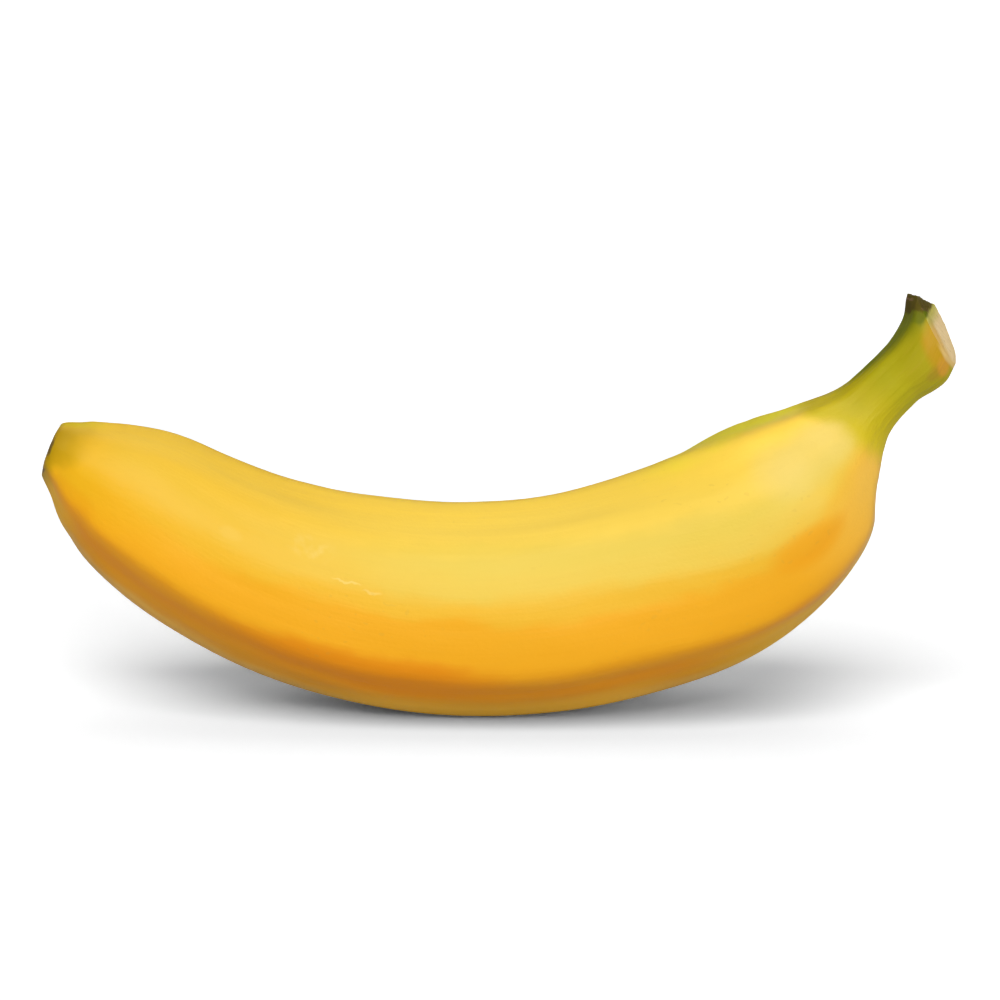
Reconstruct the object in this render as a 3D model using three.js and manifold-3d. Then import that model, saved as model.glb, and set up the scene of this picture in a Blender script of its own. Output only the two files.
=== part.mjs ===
// A whole ripe banana in its skin, as one closed solid.
//
// Millimetres, +Z up. The fruit lies on its belly with its two ends up, the blossom tip
// towards -X and the stem towards +X. The origin is under the middle of its box, on the
// plane that it rests on.
//
// A row of stations along the bent centre line says how thick the fruit is. Between the
// stations a smooth curve gives each ring its size, and every ring has the same section:
// a rounded polygon, whose corners are the ridges of the skin.

import * as THREE from "three";
import { mergeVertices } from "three/addons/utils/BufferGeometryUtils.js";
import Module from "manifold-3d";

const { degToRad, lerp, smoothstep } = THREE.MathUtils;

// --- Driving dimensions ---

// The centre line, from the tip's scar to the cut of the stem: arcs, each going on where
// the last one ends. length is in millimetres, turn is how far it bends up, in degrees.
const TIP_HEADING = -30;
const CENTRE_LINE = [
  { part: "blossom end", length: 9, turn: 2.5 },
  { part: "tip", length: 15, turn: -5 },
  { part: "belly", length: 95, turn: 54.5 },
  { part: "shoulder", length: 30, turn: 30.5 },
  { part: "neck and stem", length: 25, turn: -7.7 },
  { part: "stem's end", length: 10, turn: 28 },
];

// Half the fruit's thickness in the plane of its bend, at distances along that line.
const STATIONS = [
  { at: 0, half: 4.9 }, // rim of the blunt tip
  { at: 0.6, half: 5.45 },
  { at: 2.5, half: 6.85 },
  { at: 7, half: 10.3 },
  { at: 18, half: 14.4 },
  { at: 40, half: 17.1 },
  { at: 70, half: 19.2 },
  { at: 105, half: 19.7 }, // thickest part of the belly
  { at: 130, half: 19.4 },
  { at: 146, half: 16.7 },
  { at: 155.5, half: 10.9 }, // neck
  { at: 163.5, half: 6.4 },
  { at: 171, half: 5.6 }, // thinnest part of the stem
  { at: 177, half: 6.05 },
  { at: 181, half: 6.15 },
  { at: 183.3, half: 5.75 },
  { at: 184, half: 5.65 }, // rim of the cut
];
const LENGTH = STATIONS.at(-1).at;

// The flat sides of the section. facing is in degrees round the fruit: 0 is the outer
// side of the bend, 90 is towards -Y and 180 is the inner side. distance is from the
// centre line, as a share of the half thickness. A ridge runs where two sides meet.
const SIDES = [
  { facing: 0, distance: 1.01 },
  { facing: 42, distance: 0.99 },
  { facing: 90, distance: 0.95 },
  { facing: 122, distance: 0.945 },
  { facing: 155, distance: 0.945 },
  { facing: -155, distance: 0.945 },
  { facing: -122, distance: 0.95 },
  { facing: -90, distance: 0.955 },
  { facing: -42, distance: 0.995 },
];
const RIDGE_SHARPNESS = 20; // a higher power rounds the ridges less

// The ridges wind a little round the fruit, in degrees.
const TIP_TWIST = 6;
const STEM_TWIST = -40;
const TIP_TWIST_END = 90;
const STEM_TWIST_START = 105;
const STEM_TWIST_END = 170;

// Both ends lean a little out of the plane of the bend.
const TIP_SWAY = 2;
const TIP_SWAY_END = 60;
const STEM_SWAY = -2.5;
const STEM_SWAY_START = 125;

// The scar and the cut aren't square to the centre line, in degrees. The cut slopes back
// on the outer side of the bend, and it is turned towards -Y.
const END_REACH = 14; // how far from an end its slope is felt
const SCAR_LEAN = -9.3;
const SCAR_YAW = 2.5;
const CUT_LEAN = 42.3;
const CUT_YAW = 21.9;

// The skin is drawn out round the scar, and a little towards the inner side of the bend.
const SCAR_OUT = 0.63;
const SCAR_INWARDS = 0.95;
const SCAR_DRAW_END = 7; // how far from the tip that is felt

// The inner corner of the cut is torn off, where the stem came away from its bunch. The
// tear falls back beyond a line across the cut, this far from the centre line.
const TEAR_START = 2.85;
const TEAR_STEEPNESS = 0.94; // how far back for each millimetre out
const TEAR_FACING = 32; // degrees from the inner side, towards +Y

// Rings that close each end, from its rim to its middle: a share of the rim's size, and
// how far it stands out.
const SCAR_RINGS = [
  { share: 0.86, out: 0.15 },
  { share: 0.5, out: 0.25 },
];
const SCAR_MIDDLE = 0.2;
const CUT_RINGS = [
  { share: 0.9, out: 0.35 },
  { share: 0.55, out: 0.1 },
];
const CUT_MIDDLE = -0.2;

const RESTING_DEPTH = 0.4; // how far the belly is pressed flat where it rests

// Fineness of the mesh.
const POINTS_AROUND = 48;
const RINGS_PER_STATION = 5;

// --- The centre line ---

function centreAt(along) {
  let x = 0;
  let z = 0;
  let heading = degToRad(TIP_HEADING);
  let left = along;
  for (const arc of CENTRE_LINE) {
    const run = Math.min(left, arc.length);
    const halfBend = (degToRad(arc.turn) * run) / arc.length / 2;
    const chord = halfBend === 0 ? run : (run * Math.sin(halfBend)) / halfBend;
    x += chord * Math.cos(heading + halfBend);
    z += chord * Math.sin(heading + halfBend);
    heading += 2 * halfBend;
    left -= run;
  }
  const towardsTip = 1 - smoothstep(along, 0, TIP_SWAY_END);
  const towardsStem = smoothstep(along, STEM_SWAY_START, LENGTH);
  const y = TIP_SWAY * towardsTip + STEM_SWAY * towardsStem;
  return { middle: new THREE.Vector3(x, y, z), heading };
}

// --- The section ---

function sectionRadius(angle) {
  let sum = 0;
  for (const { facing, distance } of SIDES) {
    const reach = Math.max(Math.cos(angle - degToRad(facing)), 0) / distance;
    sum += reach ** RIDGE_SHARPNESS;
  }
  return sum ** (-1 / RIDGE_SHARPNESS);
}

function twistAt(along) {
  const fromTip = lerp(TIP_TWIST, 0, smoothstep(along, 0, TIP_TWIST_END));
  return degToRad(fromTip + STEM_TWIST * smoothstep(along, STEM_TWIST_START, STEM_TWIST_END));
}

// --- The skin ---

function skinPoint(ring, angle) {
  const { middle, heading } = centreAt(ring.along);
  const radius = ring.half * sectionRadius(angle - twistAt(ring.along));
  const drawn = 1 - smoothstep(ring.along, 0, SCAR_DRAW_END);
  const inwards = -radius * Math.cos(angle) + SCAR_INWARDS * drawn;
  const sideways = -radius * Math.sin(angle);

  const nearScar = 1 - smoothstep(ring.along, 0, END_REACH);
  const nearCut = smoothstep(ring.along, LENGTH - END_REACH, LENGTH);
  const towardsTear =
    inwards * Math.cos(degToRad(TEAR_FACING)) + sideways * Math.sin(degToRad(TEAR_FACING));
  const tear = TEAR_STEEPNESS * Math.max(towardsTear - TEAR_START, 0);
  const cut = Math.tan(degToRad(CUT_LEAN)) * inwards + Math.tan(degToRad(CUT_YAW)) * sideways;
  const scar = Math.tan(degToRad(SCAR_LEAN)) * inwards + Math.tan(degToRad(SCAR_YAW)) * sideways;
  const shift = scar * nearScar - SCAR_OUT * drawn + (cut - tear) * nearCut + ring.out;

  const forward = new THREE.Vector3(Math.cos(heading), 0, Math.sin(heading));
  const inner = new THREE.Vector3(-Math.sin(heading), 0, Math.cos(heading));
  const point = middle.clone().addScaledVector(inner, inwards).addScaledVector(forward, shift);
  point.y += sideways;
  return point;
}

function ringsOfSkin() {
  const profile = new THREE.SplineCurve(STATIONS.map(({ at, half }) => new THREE.Vector2(at, half)));
  const count = (STATIONS.length - 1) * RINGS_PER_STATION;
  const skin = profile.getPoints(count).map(({ x, y }) => ({ along: x, half: y, out: 0 }));
  const endRing = (rim, sign) => ({ share, out }) => ({
    along: rim.along,
    half: rim.half * share,
    out: sign * out,
  });
  const scar = SCAR_RINGS.map(endRing(skin[0], -1)).reverse();
  const cut = CUT_RINGS.map(endRing(skin.at(-1), 1));
  return [...scar, ...skin, ...cut];
}

// --- One closed surface ---

function loftedSurface() {
  const rings = ringsOfSkin();
  const points = [];
  for (const ring of rings) {
    for (let step = 0; step < POINTS_AROUND; step += 1) {
      points.push(skinPoint(ring, (step / POINTS_AROUND) * 2 * Math.PI));
    }
  }
  const scarMiddle = points.push(skinPoint({ along: 0, half: 0, out: -SCAR_MIDDLE }, 0)) - 1;
  const cutMiddle = points.push(skinPoint({ along: LENGTH, half: 0, out: CUT_MIDDLE }, 0)) - 1;

  const faces = [];
  const lastRing = (rings.length - 1) * POINTS_AROUND;
  for (let step = 0; step < POINTS_AROUND; step += 1) {
    const next = (step + 1) % POINTS_AROUND;
    faces.push(scarMiddle, step, next);
    faces.push(cutMiddle, lastRing + next, lastRing + step);
    for (let ring = 0; ring < lastRing; ring += POINTS_AROUND) {
      const after = ring + POINTS_AROUND;
      faces.push(ring + step, after + next, ring + next);
      faces.push(ring + step, after + step, after + next);
    }
  }
  return new THREE.BufferGeometry().setFromPoints(points).setIndex(faces);
}

// --- The resting spot ---

const wasm = await Module();
wasm.setup();

function toManifold(geometry) {
  const vertProperties = new Float32Array(geometry.attributes.position.array);
  const triVerts = new Uint32Array(geometry.index.array);
  return new wasm.Manifold(new wasm.Mesh({ numProp: 3, vertProperties, triVerts }));
}

function toGeometry(manifold) {
  const { vertProperties, triVerts } = manifold.getMesh();
  const geometry = new THREE.BufferGeometry();
  geometry.setAttribute("position", new THREE.BufferAttribute(vertProperties, 3));
  geometry.setIndex(new THREE.BufferAttribute(triVerts, 1));
  return geometry;
}

// The belly is cut by the table's top, and then the fruit is set on it.
function setDown(fruit) {
  fruit.computeBoundingBox();
  const size = fruit.boundingBox.getSize(new THREE.Vector3());
  const middle = fruit.boundingBox.getCenter(new THREE.Vector3());
  const tableTop = fruit.boundingBox.min.z + RESTING_DEPTH;
  const table = new THREE.BoxGeometry(size.x * 2, size.y * 2, size.z);
  table.translate(middle.x, middle.y, tableTop - size.z / 2);
  table.deleteAttribute("normal");
  table.deleteAttribute("uv");
  const resting = toGeometry(toManifold(fruit).subtract(toManifold(mergeVertices(table))));
  return resting.translate(-middle.x, -middle.y, -tableTop);
}

// --- The banana ---

const skin = new THREE.MeshStandardMaterial({ color: 0xf2c13c, roughness: 0.45, metalness: 0 });
const geometry = setDown(loftedSurface());
geometry.computeVertexNormals();
const banana = new THREE.Mesh(geometry, skin);
banana.name = "banana";

const group = new THREE.Group();
group.add(banana);

export default group;
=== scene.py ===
"""A whole ripe banana in its skin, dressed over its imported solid. Blender 4.5."""

import math

import bpy
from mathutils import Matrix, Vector


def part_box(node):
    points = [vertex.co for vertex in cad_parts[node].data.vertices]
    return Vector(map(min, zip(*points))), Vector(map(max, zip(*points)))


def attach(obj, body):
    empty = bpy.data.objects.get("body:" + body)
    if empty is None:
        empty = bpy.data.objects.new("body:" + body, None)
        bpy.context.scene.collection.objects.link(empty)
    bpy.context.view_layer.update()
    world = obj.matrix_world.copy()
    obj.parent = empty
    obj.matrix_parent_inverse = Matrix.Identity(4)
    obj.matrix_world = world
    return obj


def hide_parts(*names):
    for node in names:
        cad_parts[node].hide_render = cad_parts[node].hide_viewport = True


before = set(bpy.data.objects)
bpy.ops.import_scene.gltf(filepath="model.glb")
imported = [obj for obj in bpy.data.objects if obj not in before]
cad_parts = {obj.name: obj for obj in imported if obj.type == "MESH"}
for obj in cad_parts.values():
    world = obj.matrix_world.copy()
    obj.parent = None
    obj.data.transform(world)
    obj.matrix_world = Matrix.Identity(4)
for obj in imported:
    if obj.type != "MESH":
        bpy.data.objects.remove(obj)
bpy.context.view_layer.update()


# --- The banana ---
# One body of flesh in a waxy skin, drawn tight over it, so that soft ridges run from the stem
# to the blossom tip. It lies on its belly. The tree below swells and bends a plain cylinder
# into it, so that its mesh is closed all round.

# Half the thickness at distances from the tip's scar, in millimetres as all sizes here.
STATIONS = (
    (0, 4.9), (0.6, 5.45), (2.5, 6.85), (7, 10.3), (18, 14.4), (40, 17.1), (70, 19.2),
    (105, 19.7), (130, 19.4), (146, 16.7), (155.5, 10.9), (163.5, 6.4), (171, 5.6), (177, 6.05),
    (181, 6.15), (183.3, 5.75), (184, 5.65),
)
LENGTH = STATIONS[-1][0]
# The centre line's arcs from the scar to the cut of the stem: length, and turn upwards.
TIP_HEADING = -30
ARCS = ((9, 2.5), (15, -5), (95, 54.5), (30, 30.5), (25, -7.7), (10, 28))
# The flat sides between the ridges: which way each faces, in degrees from the outer side of
# the bend round the front to the inner side, and its distance as a share of half the
# thickness.
SIDES = (
    (0, 1.01), (42, 0.99), (90, 0.95), (122, 0.945), (155, 0.945),
    (-155, 0.945), (-122, 0.95), (-90, 0.955), (-42, 0.995),
)
# The ridges wind round the fruit a little, and both ends sway out of its plane.
TIP_TWIST, TIP_TWIST_END = 6, 90
STEM_TWIST, STEM_TWIST_START, STEM_TWIST_END = -40, 105, 170
TIP_SWAY, TIP_SWAY_END = 2, 60
STEM_SWAY, STEM_SWAY_START = -2.5, 125
# The scar and the cut slope, and the cut's inner corner is torn away beyond a line. The skin
# is drawn out round the scar, and towards the inner side.
END_REACH = 14
SCAR_LEAN, SCAR_YAW, CUT_LEAN, CUT_YAW = -9.3, 2.5, 42.3, 21.9
SCAR_OUT, SCAR_INWARDS, SCAR_DRAW_END = 0.63, 0.95, 7
TEAR_START, TEAR_STEEPNESS, TEAR_FACING = 2.85, 0.94, 32
TEAR_SOFTNESS, TORN_LENGTH = 1.5, 3
# Both ends rise a little inside their edge, in shares of the way in: the tip to a low dome
# with a crust on it, and the cut to a rim round a hollow.
SCAR_EDGE, SCAR_EDGE_OUT = 0.14, 0.15
SCAR_DOME, SCAR_DOME_OUT = 0.5, 0.1
SCAR_CRUST_START = 0.35
CUT_EDGE, CUT_EDGE_OUT, CUT_HOLLOW = 0.1, 0.35, 0.4
# How deep the skin's relief goes. It fades out at both ends, and where the stem begins its
# ribs take over.
DENT_DEPTH = 0.7
FLUTE_DEPTH = 0.25
STEM_RIB_DEPTH = 0.3
STEM_BEGINS = (152, 168)
TIP_FADE, CUT_FADE = 12, 8
# How deep the relief of both ends goes.
CUT_FIBRE_DEPTH = 0.35
SCAR_LUMP_DEPTH = 0.35
TEAR_DEPTH = 0.6
# The skin of the torn corner bulges out in a small flap, on the inner side.
FLAP_REACH, FLAP_FACING, FLAP_START = 0.9, (125, 165), 179

MILLIMETRE = 0.001


class Flow:
    """An output of a node. Arithmetic on it adds Math nodes, and add() any other node."""

    def __init__(self, tree, socket=None):
        self.tree = tree
        self.socket = socket

    def add(self, kind, settings=None, sockets=None, output=0):
        node = self.tree.nodes.new(kind)
        for name, value in (settings or {}).items():
            if name == "stops":
                set_stops(node.color_ramp, value)
            else:
                setattr(node, name, value)
        for name, value in (sockets or {}).items():
            if isinstance(value, Flow):
                self.tree.links.new(value.socket, node.inputs[name])
            else:
                node.inputs[name].default_value = value
        return Flow(self.tree, node.outputs[output]) if node.outputs else None

    def other(self, output):
        return Flow(self.tree, self.socket.node.outputs[output])

    def math(self, operation, *values):
        return self.add("ShaderNodeMath", {"operation": operation}, dict(enumerate(values)))

    def __add__(self, value):
        return self.math("ADD", self, value)

    def __radd__(self, value):
        return self.math("ADD", value, self)

    def __sub__(self, value):
        return self.math("SUBTRACT", self, value)

    def __rsub__(self, value):
        return self.math("SUBTRACT", value, self)

    def __mul__(self, value):
        return self.math("MULTIPLY", self, value)

    def __rmul__(self, value):
        return self.math("MULTIPLY", value, self)

    def __truediv__(self, value):
        return self.math("DIVIDE", self, value)

    def __rtruediv__(self, value):
        return self.math("DIVIDE", value, self)

    def __pow__(self, value):
        return self.math("POWER", self, value)

    def __abs__(self):
        return self.math("ABSOLUTE", self)

    def sin(self):
        return self.math("SINE", self)

    def cos(self):
        return self.math("COSINE", self)

    def above(self, value):
        return self.math("MAXIMUM", self, value)

    def below(self, value):
        return self.math("MINIMUM", self, value)

    def rise(self, start, end):
        """0 before start, 1 after end, and a smooth step between them."""
        sockets = {"Value": self, "From Min": start, "From Max": end}
        return self.add("ShaderNodeMapRange", {"interpolation_type": "SMOOTHSTEP"}, sockets)

    def split(self):
        x = self.add("ShaderNodeSeparateXYZ", None, {"Vector": self})
        return x, x.other("Y"), x.other("Z")

    def times(self, scale):
        return self.add("ShaderNodeVectorMath", {"operation": "MULTIPLY"}, {0: self, 1: scale})

    def noise(self, grain, seed, detail=2.0, roughness=0.5):
        """Noise with grains of this size on each axis, mostly between -0.5 and 0.5."""
        sockets = {
            "Vector": self.times([1 / size for size in grain]),
            "W": seed,
            "Scale": 1.0,
            "Detail": detail,
            "Roughness": roughness,
        }
        return self.add("ShaderNodeTexNoise", {"noise_dimensions": "4D"}, sockets) * 2 - 1


def set_stops(ramp, stops):
    ramp.interpolation = "EASE"
    while len(ramp.elements) < len(stops):
        ramp.elements.new(1.0)
    for element, (position, colour) in zip(ramp.elements, stops):
        element.position = position
        element.color = colour


def vector(x, y, z):
    return x.add("ShaderNodeCombineXYZ", None, {"X": x, "Y": y, "Z": z})


def centre_line(along):
    """The centre's x and z, and its heading in radians, at a distance from the scar."""
    x, z, start = 0.0, 0.0, 0.0
    heading = math.radians(TIP_HEADING)
    for length, turn in ARCS:
        run = (along - start).above(0.0).below(length)
        bend = math.radians(turn)
        half_bend = run * (bend / length / 2)
        chord = half_bend.sin() * (2 * length / bend)
        direction = half_bend + heading
        x = chord * direction.cos() + x
        z = chord * direction.sin() + z
        heading = direction + half_bend
        start += length
    return x, z, heading


def section_radius(angle, sharpness):
    """A polygon's radius with its corners rounded, as a share of half the thickness."""
    total = 0.0
    for facing, distance in SIDES:
        reach = (angle - math.radians(facing)).cos().above(0.0) / distance
        total = reach**sharpness + total
    return total ** (-1 / sharpness)


def twist(along):
    near_tip = (1 - along.rise(0.0, TIP_TWIST_END)) * math.radians(TIP_TWIST)
    return along.rise(STEM_TWIST_START, STEM_TWIST_END) * math.radians(STEM_TWIST) + near_tip


def skin_relief(lie, along, seed):
    """How far the skin stands out, mostly inwards, at a point of the straightened fruit."""
    clear_of_ends = along.rise(0.0, TIP_FADE) * (1 - along.rise(LENGTH - CUT_FADE, LENGTH))
    on_stem = along.rise(*STEM_BEGINS)
    dents = lie.noise((42, 17, 17), seed, 2.0, 0.45) - 0.25
    flutes = lie.noise((90, 5, 5), seed + 7, 1.0) - 0.3
    ribs = lie.noise((60, 1.7, 1.7), seed + 13, 1.0) - 0.3
    body = dents * DENT_DEPTH + flutes * FLUTE_DEPTH
    return (body * (1 - on_stem) + ribs * STEM_RIB_DEPTH * on_stem) * clear_of_ends


TREE_INPUTS = (
    ("Stations", "NodeSocketGeometry", None),
    ("Points Around", "NodeSocketInt", 192),
    ("Rings", "NodeSocketInt", 380),
    ("End Rings", "NodeSocketInt", 16),
    ("Ridge Sharpness", "NodeSocketFloat", 20.0),
    ("Relief", "NodeSocketFloat", 1.0),
    ("Seed", "NodeSocketFloat", 4.0),
    ("Place", "NodeSocketVector", (0.0, 0.0, 0.0)),
    ("Skin", "NodeSocketMaterial", None),
    ("Cut", "NodeSocketMaterial", None),
    ("Scar", "NodeSocketMaterial", None),
)


def banana_tree():
    tree = bpy.data.node_groups.new("banana", "GeometryNodeTree")
    for name, kind, value in TREE_INPUTS:
        socket = tree.interface.new_socket(name, in_out="INPUT", socket_type=kind)
        if value is not None:
            socket.default_value = value
    tree.interface.new_socket("Banana", in_out="OUTPUT", socket_type="NodeSocketGeometry")
    given = Flow(tree).add("NodeGroupInput")
    relief = given.other("Relief")
    seed = given.other("Seed")

    # The stations are joined by a smooth curve, of distance against half the thickness.
    curve = given.add("GeometryNodeMeshToCurve", None, {"Mesh": given.other("Stations")})
    smooth = {"spline_type": "CATMULL_ROM"}
    curve = curve.add("GeometryNodeCurveSplineType", smooth, {"Curve": curve})
    fine = {"Geometry": curve, "Resolution": 40}
    curve = curve.add("GeometryNodeSetSplineResolution", None, fine)

    # A point of the cylinder gives its angle round the fruit, its place on that curve and,
    # on an end, its share of the way out from the middle.
    sockets = {
        "Vertices": given.other("Points Around"),
        "Side Segments": given.other("Rings"),
        "Fill Segments": given.other("End Rings"),
        "Radius": 1.0,
        "Depth": 1.0,
    }
    cylinder = given.add("GeometryNodeMeshCylinder", {"fill_type": "TRIANGLE_FAN"}, sockets)
    across, aside, height = given.add("GeometryNodeInputPosition").split()
    share = (across * across + aside * aside) ** 0.5
    angle = across.math("ARCTAN2", aside * -1, across)
    whole = {"mode": "FACTOR", "use_all_curves": True}
    sockets = {"Curves": curve, "Factor": height + 0.5}
    station = curve.add("GeometryNodeSampleCurve", whole, sockets, output="Position")
    along, half, _ = station.split()

    # The straightened fruit, which the relief and the finish follow.
    turned = angle - twist(along)
    lie = vector(along, half * share * turned.cos(), half * share * turned.sin())
    radius = half * section_radius(turned, given.other("Ridge Sharpness"))
    facing = abs(angle) * math.degrees(1)
    flap = facing.rise(*FLAP_FACING) * along.rise(FLAP_START, LENGTH) * FLAP_REACH
    radius = (radius + (skin_relief(lie, along, seed) + flap) * relief) * share
    drawn = 1 - along.rise(0.0, SCAR_DRAW_END)
    inwards = drawn * SCAR_INWARDS - angle.cos() * radius
    sideways = angle.sin() * radius * -1

    # The slopes of both ends, and the torn corner with its ragged fibres.
    near_scar = 1 - along.rise(0.0, END_REACH)
    near_cut = along.rise(LENGTH - END_REACH, LENGTH)
    scar_slope = inwards * math.tan(math.radians(SCAR_LEAN))
    scar_slope = sideways * math.tan(math.radians(SCAR_YAW)) + scar_slope
    cut_slope = inwards * math.tan(math.radians(CUT_LEAN))
    cut_slope = sideways * math.tan(math.radians(CUT_YAW)) + cut_slope
    tear_turn = math.radians(TEAR_FACING)
    past_tear = inwards * math.cos(tear_turn) + sideways * math.sin(tear_turn) - TEAR_START
    torn = past_tear.rise(0.0, TEAR_SOFTNESS) * along.rise(LENGTH - TORN_LENGTH, LENGTH)
    ragged = (lie.noise((3, 1.1, 1.1), seed + 37, 3.0) - 0.4) * TEAR_DEPTH * relief
    shift = scar_slope * near_scar - drawn * SCAR_OUT + torn * ragged
    shift = shift + (cut_slope - past_tear.above(0.0) * TEAR_STEEPNESS) * near_cut

    # The tip is nearly flat, with the scar's dry crust in its middle, and so is the cut inside
    # its raised rim. Their relief doesn't change with depth.
    inside = 1 - share
    crust = inside.rise(SCAR_CRUST_START, SCAR_DOME)
    scar_lumps = (lie.noise((math.inf, 1.3, 1.3), seed + 29, 3.0) - 0.3) * SCAR_LUMP_DEPTH * relief
    scar_edge = inside.rise(0.0, SCAR_EDGE) * SCAR_EDGE_OUT
    scar_dome = scar_edge + inside.rise(SCAR_EDGE, SCAR_DOME) * SCAR_DOME_OUT
    shift = shift - (scar_dome + crust * scar_lumps) * (1 - height.rise(-0.5, -0.4))
    cut_fibres = (lie.noise((math.inf, 0.7, 0.7), seed + 21, 1.0) - 0.3) * CUT_FIBRE_DEPTH * relief
    cut_rim = inside.rise(0.0, CUT_EDGE) * (cut_fibres + CUT_EDGE_OUT)
    shift = shift + (cut_rim - inside.rise(CUT_EDGE, 1.0) * CUT_HOLLOW) * height.rise(0.4, 0.5)

    # Bent into place in metres, with the belly pressed flat on the ground.
    x, z, heading = centre_line(along)
    sway = (1 - along.rise(0.0, TIP_SWAY_END)) * TIP_SWAY
    sway = along.rise(STEM_SWAY_START, LENGTH) * STEM_SWAY + sway
    x = x - inwards * heading.sin() + shift * heading.cos()
    z = z + inwards * heading.cos() + shift * heading.sin()
    place_x, place_y, place_z = given.other("Place").split()
    position = vector(
        (x + place_x) * MILLIMETRE,
        (sideways + sway + place_y) * MILLIMETRE,
        ((z + place_z) * MILLIMETRE).above(0.0),
    )

    # What the finish reads is stored before the points move, and the cut's rim is sharp.
    fruit = cylinder
    readings = (
        ("lie", "FLOAT_VECTOR", lie),
        ("facing", "FLOAT", facing),
        ("past tear", "FLOAT", past_tear),
    )
    for name, kind, value in readings:
        store = {"data_type": kind, "domain": "POINT"}
        sockets = {"Geometry": fruit, "Name": name, "Value": value}
        fruit = fruit.add("GeometryNodeStoreNamedAttribute", store, sockets)
    at_top = height.math("GREATER_THAN", height, 0.4995)
    at_edge = share.math("GREATER_THAN", share, 0.995)
    fruit = fruit.add("GeometryNodeSetShadeSmooth", {"domain": "FACE"}, {"Geometry": fruit})
    sharp = {"Geometry": fruit, "Selection": at_top * at_edge, "Shade Smooth": False}
    fruit = fruit.add("GeometryNodeSetShadeSmooth", {"domain": "EDGE"}, sharp)
    fruit = fruit.add("GeometryNodeSetPosition", None, {"Geometry": fruit, "Position": position})
    fruit = fruit.add("GeometryNodeRealizeInstances", None, {"Geometry": fruit})
    for finish, faces in (("Skin", "Side"), ("Cut", "Top"), ("Scar", "Bottom")):
        sockets = {"Selection": cylinder.other(faces), "Material": given.other(finish)}
        fruit = fruit.add("GeometryNodeSetMaterial", None, {"Geometry": fruit, **sockets})
    fruit.add("NodeGroupOutput", None, {"Banana": fruit})
    return tree


def grown(tree, inputs):
    """The tree's result, as a plain mesh."""
    stations = bpy.data.meshes.new("stations")
    points = [(at, half, 0.0) for at, half in STATIONS]
    stations.from_pydata(points, [(i, i + 1) for i in range(len(points) - 1)], [])
    grower = bpy.data.objects.new("stations", stations)
    bpy.context.scene.collection.objects.link(grower)
    modifier = grower.modifiers.new("banana", "NODES")
    modifier.node_group = tree
    for item in tree.interface.items_tree:
        if item.name in inputs:
            modifier[item.identifier] = inputs[item.name]
    depsgraph = bpy.context.evaluated_depsgraph_get()
    mesh = bpy.data.meshes.new_from_object(grower.evaluated_get(depsgraph), depsgraph=depsgraph)
    bpy.data.objects.remove(grower)
    bpy.data.meshes.remove(stations)
    return mesh


def corners(mesh):
    low = [min(vertex.co[axis] for vertex in mesh.vertices) for axis in range(3)]
    high = [max(vertex.co[axis] for vertex in mesh.vertices) for axis in range(3)]
    return Vector(low), Vector(high)


def place_in(low, high, tree):
    """How far the fruit moves, in millimetres, to lie in the middle of a box and as high."""
    smooth_low, smooth_high = corners(grown(tree, {"Relief": 0.0}))
    move = (low + high - smooth_low - smooth_high) / 2
    move.z = high.z - smooth_high.z
    return move / MILLIMETRE


def mixed(factor, first, second):
    sockets = {0: factor, 6: first, 7: second}
    return factor.add("ShaderNodeMix", {"data_type": "RGBA"}, sockets, output=2)


# The skin is amber on the outer side of the bend and pale on the inner side: which way it
# faces in degrees, and its colour. The pale is partly its own lemon colour and partly a
# painted sheen, painted lighter still towards the top edge where that lies in shade, and the
# lowest stop's paler tint is a painted reflection of the floor.
SKIN_AND_PAINTED_LIGHT_STOPS = (
    (24, (0.78, 0.41, 0.060, 1)), (34, (0.78, 0.32, 0.006, 1)), (48, (0.80, 0.29, 0.002, 1)),
    (60, (0.84, 0.34, 0.006, 1)), (72, (0.88, 0.40, 0.009, 1)), (88, (0.88, 0.41, 0.011, 1)),
    (98, (0.86, 0.48, 0.027, 1)), (112, (0.80, 0.55, 0.065, 1)), (126, (0.79, 0.57, 0.073, 1)),
    (145, (0.92, 0.63, 0.080, 1)), (170, (0.97, 0.65, 0.070, 1)),
)
HALF_TURN = 180  # the degrees that the ramp of these runs over
ORANGE = (0.88, 0.36, 0.003, 1)
AMBER_AND_PAINTED_SHADE = (0.79, 0.25, 0.001, 1)
TIP_GOLD = (0.83, 0.45, 0.010, 1)
NECK_GOLD = (0.91, 0.53, 0.070, 1)
END_GOLD = (0.90, 0.50, 0.006, 1)
PAINTED_BOUNCE_GOLD = (0.98, 0.50, 0.030, 1)
PALE_SHOULDER_AND_SHEEN = (0.81, 0.61, 0.15, 1)
LIME_AND_PAINTED_LIGHT = (0.90, 0.76, 0.025, 1)
OLIVE = (0.45, 0.27, 0.002, 1)
# The stem is green: a distance along the fruit, and its colour there.
STEM_STOPS = (
    (159, (0.66, 0.50, 0.015, 1)), (165, (0.53, 0.42, 0.004, 1)), (171, (0.45, 0.385, 0.003, 1)),
    (178, (0.42, 0.35, 0.004, 1)),
)
STEM_RAMP_START, STEM_RAMP_LENGTH = 150, 40  # the stretch that their ramp runs over
BOTTLE_GREEN_AND_SHADE = (0.14, 0.17, 0.001, 1)
OCHRE = (0.51, 0.29, 0.004, 1)
RUST = (0.66, 0.31, 0.025, 1)
BRUISE = (0.40, 0.24, 0.015, 1)
TAN = (0.70, 0.48, 0.17, 1)
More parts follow.
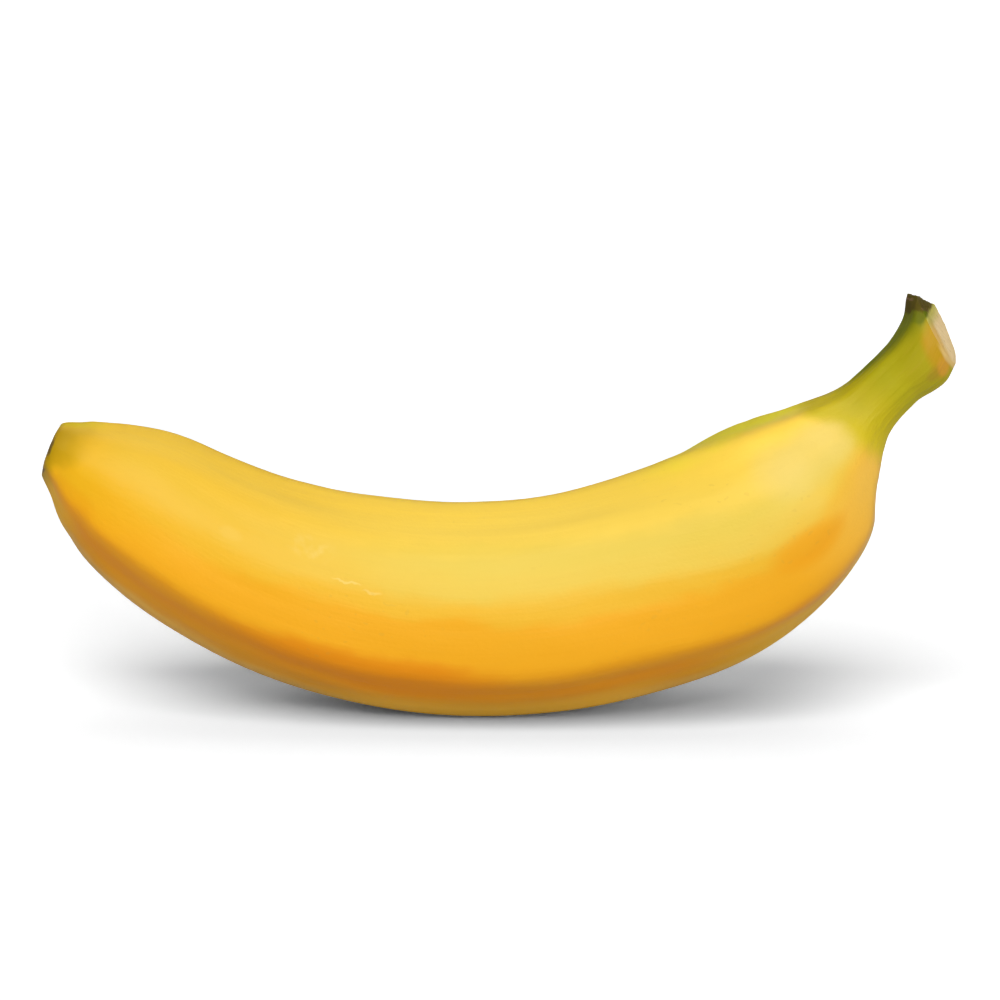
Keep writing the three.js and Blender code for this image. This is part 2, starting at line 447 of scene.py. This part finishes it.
# The torn corner, the marks and the scar's rim.
DRIED_BROWN = (0.10, 0.075, 0.006, 1)
TORN_EDGE = (0.20, 0.12, 0.050, 1)
SCUFF = (0.92, 0.68, 0.20, 1)
FRECKLE = (0.55, 0.32, 0.05, 1)
TIP_BROWN = (0.26, 0.16, 0.02, 1)
TIP_CRUST = (0.10, 0.06, 0.02, 1)
SKIN_ROUGHNESS = 0.42
SKIN_GLOSS = 0.2


def blank_finish(name):
    material = bpy.data.materials.new(name)
    material.use_nodes = True
    material.node_tree.nodes.clear()
    return material, Flow(material.node_tree)


def stored(start, name, output="Fac"):
    """What the tree stored at a point of the fruit."""
    return start.add("ShaderNodeAttribute", {"attribute_name": name}, output=output)


def surfaced(colour, roughness, relief, gloss):
    """The surface itself, whose relief is in millimetres."""
    bump = {"Strength": 1.0, "Distance": MILLIMETRE, "Height": relief}
    normal = relief.add("ShaderNodeBump", None, bump)
    sockets = {
        "Base Color": colour,
        "Roughness": roughness,
        "IOR": 1.5,
        "Specular IOR Level": gloss,
        "Normal": normal,
    }
    shader = relief.add("ShaderNodeBsdfPrincipled", None, sockets)
    relief.add("ShaderNodeOutputMaterial", None, {"Surface": shader})


def spot(along, facing, middle, length, width):
    """1 in the middle of a long spot on the skin, and 0 outside it. Its width is in degrees."""
    far_along = (along - middle[0]) / length
    far_round = (facing - middle[1]) / width
    return 1 - (far_along * far_along + far_round * far_round).rise(0.1, 1.0)


def ripe_colour(lie, along, wound):
    """Amber to pale round the fruit, with gold at its ends and orange low on its sides.
    Part of the pale is painted sheen, the gold low in the middle is painted light, and a spot
    at the tip is painted shade.
    """
    # Ripeness follows the ridges with an uneven edge.
    uneven = lie.noise((34, 13, 13), 31) * 12 + lie.noise((7, 4, 4), 32) * 5
    ripe = wound + uneven
    stops = [(facing / HALF_TURN, colour) for facing, colour in SKIN_AND_PAINTED_LIGHT_STOPS]
    colour = ripe.add("ShaderNodeValToRGB", {"stops": stops}, {"Fac": ripe / HALF_TURN})
    colour = mixed(spot(along, ripe, (63, 57), 30, 16) * 0.8, colour, AMBER_AND_PAINTED_SHADE)

    # Towards the tip it goes further, and low on the skin it turns to gold. Low in the middle that
    # gold is painted light, for light thrown up from the floor, and a spot on the tip's lower
    # front is painted shade.
    golden = (ripe + (1 - along.rise(2, 40)) * 30).rise(80, 112)
    golden = golden * (0.85 - along.rise(4, 14) * 0.25) * (1 - along.rise(30, 85))
    golden = golden * (1 - wound.rise(130, 156) * 0.4)
    colour = mixed(golden, colour, TIP_GOLD)
    low_ends = (1 - wound.rise(44, 60)) * (1 - along.rise(3, 12) + along.rise(112, 132))
    colour = mixed(low_ends * 0.8, colour, END_GOLD)
    # Painted light: the lowest strip in the middle is painted a lighter gold, for light thrown up
    # from the floor.
    painted_bounce_low = (1 - wound.rise(26, 46)) * (along.rise(52, 72) - along.rise(100, 118))
    colour = mixed(painted_bounce_low, colour, PAINTED_BOUNCE_GOLD)
    # Painted shade: amber darkens the tip's lower front, where the lit side gives way to shade.
    colour = mixed(spot(along, wound, (7, 68), 6, 16) * 0.2, colour, AMBER_AND_PAINTED_SHADE)

    # The shoulder is golden low down and pale above, the pale partly a painted sheen, with an
    # orange patch on its side.
    colour = mixed((1 - ripe.rise(85, 125)) * along.rise(134, 158), colour, NECK_GOLD)
    colour = mixed(spot(along, ripe, (154, 142), 15, 34) * 0.7, colour, PALE_SHOULDER_AND_SHEEN)
    return mixed(spot(along, wound, (141, 92), 8.5, 15) * 0.7, colour, ORANGE)


def greened(colour, along, wound, facing, rough_edge):
    """Lime along the inner side towards the neck, painted lighter where the top edge lies in shade,
    and olive round the tip.
    """
    inner_side = (facing + rough_edge * 12).rise(150, 178)
    # The lime is partly painted light: lighter than its own green, where the top faces away from
    # the lamps.
    colour = mixed(inner_side * along.rise(112, 146), colour, LIME_AND_PAINTED_LIGHT)
    colour = mixed(facing.rise(155, 175) * (1 - along.rise(2, 9)) * 0.6, colour, LIME_AND_PAINTED_LIGHT)
    olive_reach = wound.rise(70, 115) * 5 + 3
    at_tip = 1 - ((along + rough_edge * 1.5) / olive_reach).rise(0.05, 1.0)
    at_tip = at_tip * (1 - wound.rise(132, 162) * 0.5)
    return mixed(at_tip, colour, OLIVE)


def stem_colour(along, facing, under_tear, rough_edge):
    """Green, darker inside the bend, and dried to ochre and rust beside the cut."""
    stops = [((at - STEM_RAMP_START) / STEM_RAMP_LENGTH, green) for at, green in STEM_STOPS]
    share = (along - STEM_RAMP_START) / STEM_RAMP_LENGTH
    green = along.add("ShaderNodeValToRGB", {"stops": stops}, {"Fac": share})

    # It darkens on the inner side, further round towards the cut, and under the torn corner, and
    # from its front round to the inner side it gets a little painted shade.
    inside_bend = (facing + (along - 165) * 2.8 + rough_edge * 8).rise(158, 196)
    inside_bend = inside_bend * along.rise(158, 170)
    # Painted shade: a little dark green from the front round to the inner side.
    painted_shade = facing.rise(85, 118) * 0.13
    green = mixed((inside_bend + under_tear + painted_shade).below(1.0) * 0.9, green, BOTTLE_GREEN_AND_SHADE)
    green = mixed(under_tear * 0.25, green, DRIED_BROWN)

    # Beside the cut it has dried, most of all low on the front.
    beside_cut = facing.rise(28, 50) * (1 - (facing + rough_edge * 12).rise(102, 126))
    green = mixed(beside_cut * (along + rough_edge).rise(179.2, 181.8), green, OCHRE)
    green = mixed(spot(along, facing, (180, 57), 3.0, 16) * 0.5, green, BRUISE)
    green = mixed(spot(along, facing, (182.4, 50), 1.9, 22) * 0.8, green, RUST)
    beside_rim = (along + rough_edge * 0.5).rise(183.1, 183.7)
    return mixed(beside_rim * (1 - facing.rise(60, 90)), green, TAN)


def pale_scuffs(lie, along, wound, front):
    """How scuffed the skin is. Every scuff is on the front."""
    scratched = wound + lie.noise((4, 4, 4), 35, 3.0) * 7
    worn = lie.noise((2.5, 2.5, 2.5), 41, 3.0).rise(-0.2, 0.5)
    scuffs = spot(along, scratched, (58, 110), 3.4, 1.2)
    scuffs = scuffs + spot(along, scratched, (63, 106), 2.2, 1.4) * 0.8
    scuffs = scuffs + spot(along, scratched, (50, 123), 5.5, 10.0) * worn * 0.75
    scuffs = scuffs + spot(along, scratched, (34.5, 112), 3.0, 6.0) * 0.2
    return scuffs.below(1.0) * front.rise(0, 4)


def skin_finish():
    """Waxy skin over its whole length, with the stem's green and the tip's olive."""
    material, start = blank_finish("banana skin")
    lie = stored(start, "lie", "Vector")
    facing = stored(start, "facing")
    past_tear = stored(start, "past tear")
    along, outer, front = lie.split()
    wound = abs(front).math("ARCTAN2", abs(front), outer) * math.degrees(1)
    rough_edge = lie.noise((9, 5, 5), 33)
    dry_edge = lie.noise((2, 1, 1), 34)

    under_tear = (along + past_tear * 0.8).rise(179, 181.3) * past_tear.rise(-3.3, -2.2)
    green = stem_colour(along, facing, under_tear, rough_edge)
    neck_edge = along + rough_edge * 1.5 + facing.rise(105, 150) * 2.4
    colour = greened(ripe_colour(lie, along, wound), along, wound, facing, rough_edge)
    colour = mixed(neck_edge.rise(157.4, 161.2), colour, green)

    # The torn remnant has dried, with a paler line under its edge.
    dried = (along + past_tear.below(0.8) * 1.2 + dry_edge * 0.6).rise(180.9, 181.6)
    dried = dried * past_tear.rise(-2.5, -2.0)
    torn_line = 1 - abs(along - 183.1 + dry_edge * 0.5).rise(0.15, 0.5)
    brown = mixed(torn_line * past_tear.rise(0.2, 1.0), DRIED_BROWN, TORN_EDGE)
    colour = mixed(dried, colour, brown)

    # Scuffs, freckles and the darkened rim of the scar, which is crusted on the front.
    scuffs = pale_scuffs(lie, along, wound, front)
    colour = mixed(scuffs * 0.5, colour, SCUFF)
    freckles = lie.noise((1.1, 0.8, 0.8), 36, 0.0).rise(0.44, 0.52)
    freckles = freckles * lie.noise((25, 14, 14), 37).rise(0.05, 0.35)
    colour = mixed(freckles * 0.13, colour, FRECKLE)
    scar_rim = 1 - (along + dry_edge * 0.5).rise(0.0, 0.8)
    colour = mixed(scar_rim * 0.4, colour, TIP_BROWN)
    frayed = facing + dry_edge * 8
    crusted = frayed.rise(84, 96) * (1 - frayed.rise(122, 134))
    crusted = (crusted + 1 - abs(frayed - 53).rise(3, 9)) * front.rise(0, 2)
    crusted = crusted * (1 - (along + dry_edge * 0.2).rise(0.35, 0.65))
    colour = mixed(crusted * 0.8, colour, TIP_CRUST)

    # Fine pores and lengthwise fibres, which stand out most on the stem.
    on_stem = along.rise(*STEM_BEGINS)
    fibres = lie.noise((16, 0.6, 0.6), 38)
    pores = lie.noise((0.7, 0.6, 0.6), 39, 3.0)
    relief = fibres * (on_stem * 0.05 + 0.02) + pores * 0.017
    colour = mixed(fibres.rise(0.0, 0.6) * (on_stem * 0.1 + 0.04), colour, FRECKLE)
    roughness = SKIN_ROUGHNESS + lie.noise((12, 6, 6), 40, 3.0) * 0.12 + on_stem * 0.06
    roughness = (roughness + dried * 0.3 + under_tear * 0.25 + scuffs * 0.1).below(0.9)
    surfaced(colour, roughness, relief, SKIN_GLOSS)
    return material


# The cut shows pale pith with strands in it, which has turned golden on its front side. Its
# torn corner has dried, green at first and then brown.
PITH = (0.82, 0.62, 0.33, 1)
PITH_SHADED = (0.78, 0.58, 0.29, 1)
GOLDEN_PITH = (0.72, 0.45, 0.12, 1)
GREEN_PITH = (0.52, 0.46, 0.10, 1)
STRAND = (0.50, 0.30, 0.11, 1)
CUT_RIM = (0.60, 0.40, 0.14, 1)
TORN_FIBRE = (0.20, 0.12, 0.05, 1)
CUT_ROUGHNESS = 0.75
CUT_GLOSS = 0.15


def cut_finish():
    """Pithy flesh of the stem, with cut strands in it and a dried torn corner."""
    material, start = blank_finish("cut stem")
    lie = stored(start, "lie", "Vector")
    past_tear = stored(start, "past tear")
    _, outer, front = lie.split()
    out_from_middle = (outer * outer + front * front) ** 0.5
    turn = math.radians(STEM_TWIST)
    inwards = front * math.sin(turn) - outer * math.cos(turn)
    back = outer * -math.sin(turn) - front * math.cos(turn)
    blotches = lie.noise((math.inf, 2.5, 2.5), 51, 3.0)
    pith = mixed(blotches.rise(-0.4, 0.4), PITH, PITH_SHADED)
    colour = mixed((back - inwards * 0.5 + blotches * 2).rise(-4.0, -1.0), GOLDEN_PITH, pith)
    strand_places = lie.times((0.0, 1.1, 1.1))
    cells = lie.add("ShaderNodeTexVoronoi", None, {"Vector": strand_places, "Scale": 1.0})
    strands = 1 - cells.rise(0.12, 0.26)
    colour = mixed(strands * 0.6, colour, STRAND)
    colour = mixed((out_from_middle + blotches * 0.6).rise(5.0, 5.6) * 0.4, colour, CUT_RIM)
    threads = lie.noise((math.inf, 0.5, 0.5), 52, 3.0)
    across_tear = inwards + back * 0.23 + blotches * 0.5
    colour = mixed(across_tear.rise(-0.6, 1.4), colour, GREEN_PITH)
    torn = across_tear.rise(1.3, 1.9)
    dry = mixed(threads.rise(0.0, 0.4), DRIED_BROWN, TORN_FIBRE)
    colour = mixed(torn, colour, mixed((past_tear + threads).rise(-2.3, -1.7), BOTTLE_GREEN_AND_SHADE, dry))
    relief = threads * (torn * 0.25 + 0.06) - strands * 0.08
    surfaced(colour, CUT_ROUGHNESS + threads * 0.1, relief, CUT_GLOSS)
    return material


# The scar is a dry, nearly black crust with a few paler flakes, a little off the middle of
# the tip.
SCAR_CRUST = (0.035, 0.024, 0.014, 1)
SCAR_FLAKE = (0.20, 0.14, 0.08, 1)
SCAR_ROUGHNESS = 0.55
SCAR_GLOSS = 0.2
CRUST_OUTER, CRUST_FRONT = -0.5, 1.3


def scar_finish():
    """Dry crust where the flower fell off."""
    material, start = blank_finish("blossom scar")
    lie = stored(start, "lie", "Vector")
    _, outer, front = lie.split()
    flakes = lie.noise((math.inf, 0.8, 0.8), 61, 4.0, 0.6)
    out_from_middle = (outer * outer + front * front) ** 0.5
    crust_outer = outer - CRUST_OUTER
    crust_front = front - CRUST_FRONT
    crust_radius = (crust_outer * crust_outer + crust_front * crust_front) ** 0.5
    crust = 1 - (crust_radius + flakes * 1.2).rise(2.9, 3.8)
    flaky = mixed(flakes.rise(0.05, 0.5), SCAR_CRUST, SCAR_FLAKE)
    skin = mixed(out_from_middle.rise(3.2, 5.0), TIP_BROWN, OLIVE)
    roughness = SCAR_ROUGHNESS + crust * 0.25
    surfaced(mixed(crust, skin, flaky), roughness, flakes * crust * 0.3, SCAR_GLOSS)
    return material


tree = banana_tree()
place = place_in(*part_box("banana"), tree)
finishes = {"Skin": skin_finish(), "Cut": cut_finish(), "Scar": scar_finish()}
mesh = grown(tree, {"Place": place, **finishes})
banana = bpy.data.objects.new("banana_in_skin", mesh)
banana.visible_diffuse = False  # so that its colour doesn't tint the floor
bpy.context.scene.collection.objects.link(banana)
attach(banana, "root")
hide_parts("banana")


# --- The floor ---
# A wide sheet of white paper under the fruit, with no edge in view. The camera sees it burnt
# out to pure white, apart from the fruit's shadow.

FLOOR_SIZE = 12
FLOOR_WHITE = (0.66, 0.66, 0.66, 1)
FLOOR_SEEN = (1.44, 1.44, 1.44, 1)

floor_mesh = bpy.data.meshes.new("floor")
reach = FLOOR_SIZE / 2
floor_corners = [(-reach, -reach, 0), (reach, -reach, 0), (reach, reach, 0), (-reach, reach, 0)]
floor_mesh.from_pydata(floor_corners, [], [(0, 1, 2, 3)])
floor = bpy.data.objects.new("floor", floor_mesh)
bpy.context.scene.collection.objects.link(floor)


def floor_finish():
    material, start = blank_finish("floor paper")
    seen = start.add("ShaderNodeLightPath", output="Is Camera Ray")
    colour = mixed(seen, FLOOR_WHITE, FLOOR_SEEN)
    shader = start.add("ShaderNodeBsdfDiffuse", None, {"Color": colour})
    start.add("ShaderNodeOutputMaterial", None, {"Surface": shader})
    return material


floor_mesh.materials.append(floor_finish())


# --- The light ---
# Two wide softboxes before the fruit, one high and one low, and a lamp behind it. The room's
# pale wall behind the fruit is a half dome of light, which casts shadows too.

# Name, strength, and in degrees its width, its height above the horizon and its turn to the
# right.
LAMPS = (
    ("high softbox", 1.93, 50, 50, -10),
    ("low softbox", 2.3, 50, 5, 20),
    ("lamp behind", 0.27, 50, 75, 180),
    ("wall behind", 0.75, 180, 0, 180),
)
SEEN_WHITE = 1.2

for name, strength, width, height, turn in LAMPS:
    lamp_data = bpy.data.lights.new(name, "SUN")
    lamp_data.energy = strength
    lamp_data.angle = math.radians(width)
    lamp_data.cycles.use_multiple_importance_sampling = False
    lamp = bpy.data.objects.new(name, lamp_data)
    lamp.rotation_euler = (math.radians(90 - height), 0, math.radians(turn))
    bpy.context.scene.collection.objects.link(lamp)

world = bpy.data.worlds.new("room")
world.use_nodes = True
world.node_tree.nodes.clear()
air = Flow(world.node_tree)
seen = air.add("ShaderNodeLightPath", output="Is Camera Ray")
room = air.add("ShaderNodeBackground", None, {"Color": (1, 1, 1, 1), "Strength": seen * SEEN_WHITE})
air.add("ShaderNodeOutputWorld", None, {"Surface": room})
bpy.context.scene.world = world
bpy.context.scene.view_settings.view_transform = "Standard"


# --- The camera ---
# A long lens looks at the front of the fruit from a little above, so that the far side of
# the belly stays hidden. Its distance and its target are in metres.

CAMERA_LENS = 100
CAMERA_DISTANCE = 0.5
CAMERA_ELEVATION = 12
CAMERA_TARGET = (0.00072, 0.0, 0.0390)

camera_data = bpy.data.cameras.new("camera")
camera_data.lens = CAMERA_LENS
camera = bpy.data.objects.new("camera", camera_data)
elevation = math.radians(CAMERA_ELEVATION)
camera.location = (
    CAMERA_TARGET[0],
    CAMERA_TARGET[1] - CAMERA_DISTANCE * math.cos(elevation),
    CAMERA_TARGET[2] + CAMERA_DISTANCE * math.sin(elevation),
)
camera.rotation_euler = (math.pi / 2 - elevation, 0, 0)
bpy.context.scene.collection.objects.link(camera)
bpy.context.scene.camera = camera
